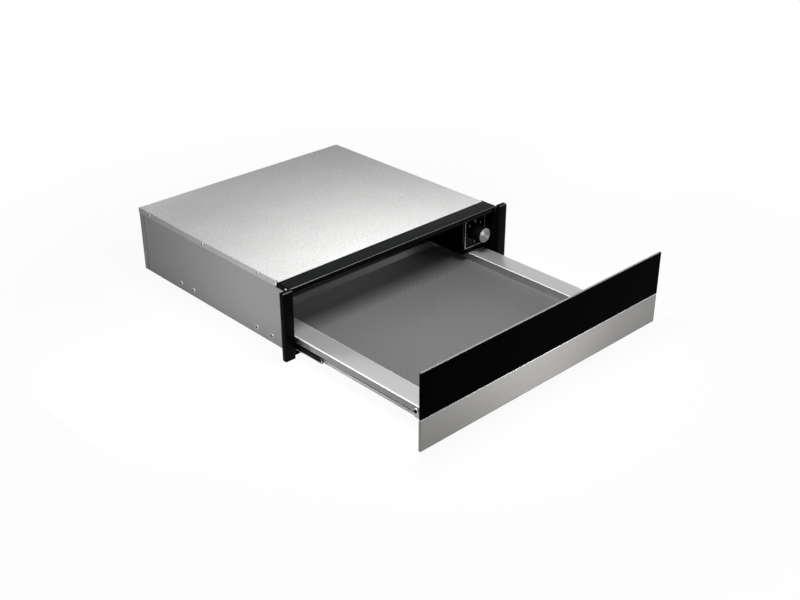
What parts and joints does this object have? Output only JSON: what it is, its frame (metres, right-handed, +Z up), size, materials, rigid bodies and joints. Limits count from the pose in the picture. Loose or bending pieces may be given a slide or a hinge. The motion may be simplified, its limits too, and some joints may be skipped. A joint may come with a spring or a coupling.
{
  "type": "warming drawer",
  "caption": "Low built-in warming drawer with a sheet casing, black glass and steel front, sunk tray on telescopic runners, rotary control and a fan heater at the back.",
  "frame": {"origin": "on the surface that the casing stands on, midway between its sides and below the front edge of the top cover", "axes": "+X to the right as seen from the front, +Y to the back along the drawer's travel, +Z up"},
  "size_m": [0.5946, 0.8324, 0.142],
  "materials": {
    "galvanised": "zinc-coated sheet, fine matt grain",
    "plain_steel": "smooth dull sheet steel",
    "black_paint": "satin black paint",
    "stainless": "finely brushed stainless steel",
    "zinc": "bright zinc plate",
    "black_gloss": "glossy black",
    "black_matt": "matt black",
    "black_glass": "opaque black glass, polished",
    "mat": "dark grey non-slip mesh",
    "bumper": "black rubber",
    "ceramic": "pale insulating moulding",
    "sleeve": "woven insulating sleeve"
  },
  "bodies": {
    "casing": {"top_cover": "galvanised", "left_side_panel": "plain_steel", "right_side_panel": "plain_steel", "back_panel": "plain_steel", "bottom_plate": "plain_steel", "front_top_rail": "black_paint", "front_bottom_rail": "black_paint", "left_upright": "black_paint", "right_upright": "black_paint", "control_panel": "black_gloss", "control_box": "black_paint", "regulator": "plain_steel", "air_box": "plain_steel", "motor_plate": "galvanised", "fan_motor": "galvanised", "heating_element": "plain_steel", "thermal_cutout": "zinc", "terminal_block": "ceramic", "cable_gland": "black_matt", "wiring_loom": "sleeve", "loom_clips": "ceramic", "heater_lead": "sleeve", "runner_outer_left": "zinc", "runner_outer_right": "zinc", "cover_screws": "zinc", "back_screws": "zinc", "rail_screws": "zinc", "upright_screws": "zinc", "runner_screws": "zinc", "motor_screws": "zinc"},
    "drawer": {"tray": "stainless", "tray_mat": "mat", "front_carrier": "black_paint", "glass_panel": "black_glass", "steel_strip": "stainless", "panel_bracket_left": "stainless", "panel_bracket_right": "stainless", "runner_support_left": "zinc", "runner_support_right": "zinc", "runner_inner_left": "zinc", "runner_inner_right": "zinc", "tray_bolts": "zinc", "carrier_screws": "zinc", "runner_rivets": "zinc", "door_bumpers": "bumper"},
    "middle_left": {"runner_middle_left": "zinc"},
    "middle_right": {"runner_middle_right": "zinc"},
    "outer_balls_left": {"ball_cage_outer_left": "plain_steel"},
    "outer_balls_right": {"ball_cage_outer_right": "plain_steel"},
    "inner_balls_left": {"ball_cage_inner_left": "plain_steel"},
    "inner_balls_right": {"ball_cage_inner_right": "plain_steel"},
    "knob": {"regulator_shaft": "zinc", "control_knob": "black_matt", "knob_cap": "stainless"},
    "fan": {"fan_wheel": "galvanised", "fan_shaft": "zinc"}
  },
  "joints": [
    {"name": "drawer_slide", "type": "slide", "parent": "casing", "child": "drawer", "axis": [0, 1, 0], "range_m": [0, 0.341]},
    {"name": "middle_left_slide", "type": "slide", "parent": "casing", "child": "middle_left", "axis": [0, 1, 0], "range_m": [0, 0.1705]},
    {"name": "outer_balls_left_slide", "type": "slide", "parent": "casing", "child": "outer_balls_left", "axis": [0, 1, 0], "range_m": [0, 0.08525]},
    {"name": "inner_balls_left_slide", "type": "slide", "parent": "casing", "child": "inner_balls_left", "axis": [0, 1, 0], "range_m": [0, 0.25575]},
    {"name": "middle_right_slide", "type": "slide", "parent": "casing", "child": "middle_right", "axis": [0, 1, 0], "range_m": [0, 0.1705]},
    {"name": "outer_balls_right_slide", "type": "slide", "parent": "casing", "child": "outer_balls_right", "axis": [0, 1, 0], "range_m": [0, 0.08525]},
    {"name": "inner_balls_right_slide", "type": "slide", "parent": "casing", "child": "inner_balls_right", "axis": [0, 1, 0], "range_m": [0, 0.25575]},
    {"name": "knob_turn", "type": "hinge", "parent": "casing", "child": "knob", "pos_m": [0.2213, -0.0135, 0.08], "axis": [0, 1, 0], "range_deg": [0, 288]},
    {"name": "fan_turn", "type": "hinge", "parent": "casing", "child": "fan", "pos_m": [-0.03, 0.362, 0.0865], "axis": [0, 1, 0], "continuous": true}
  ],
  "couplings": [
    {"joint": "middle_left_slide", "follows": "drawer_slide", "ratio": 0.5},
    {"joint": "outer_balls_left_slide", "follows": "drawer_slide", "ratio": 0.25},
    {"joint": "inner_balls_left_slide", "follows": "drawer_slide", "ratio": 0.75},
    {"joint": "middle_right_slide", "follows": "drawer_slide", "ratio": 0.5},
    {"joint": "outer_balls_right_slide", "follows": "drawer_slide", "ratio": 0.25},
    {"joint": "inner_balls_right_slide", "follows": "drawer_slide", "ratio": 0.75}
  ]
}
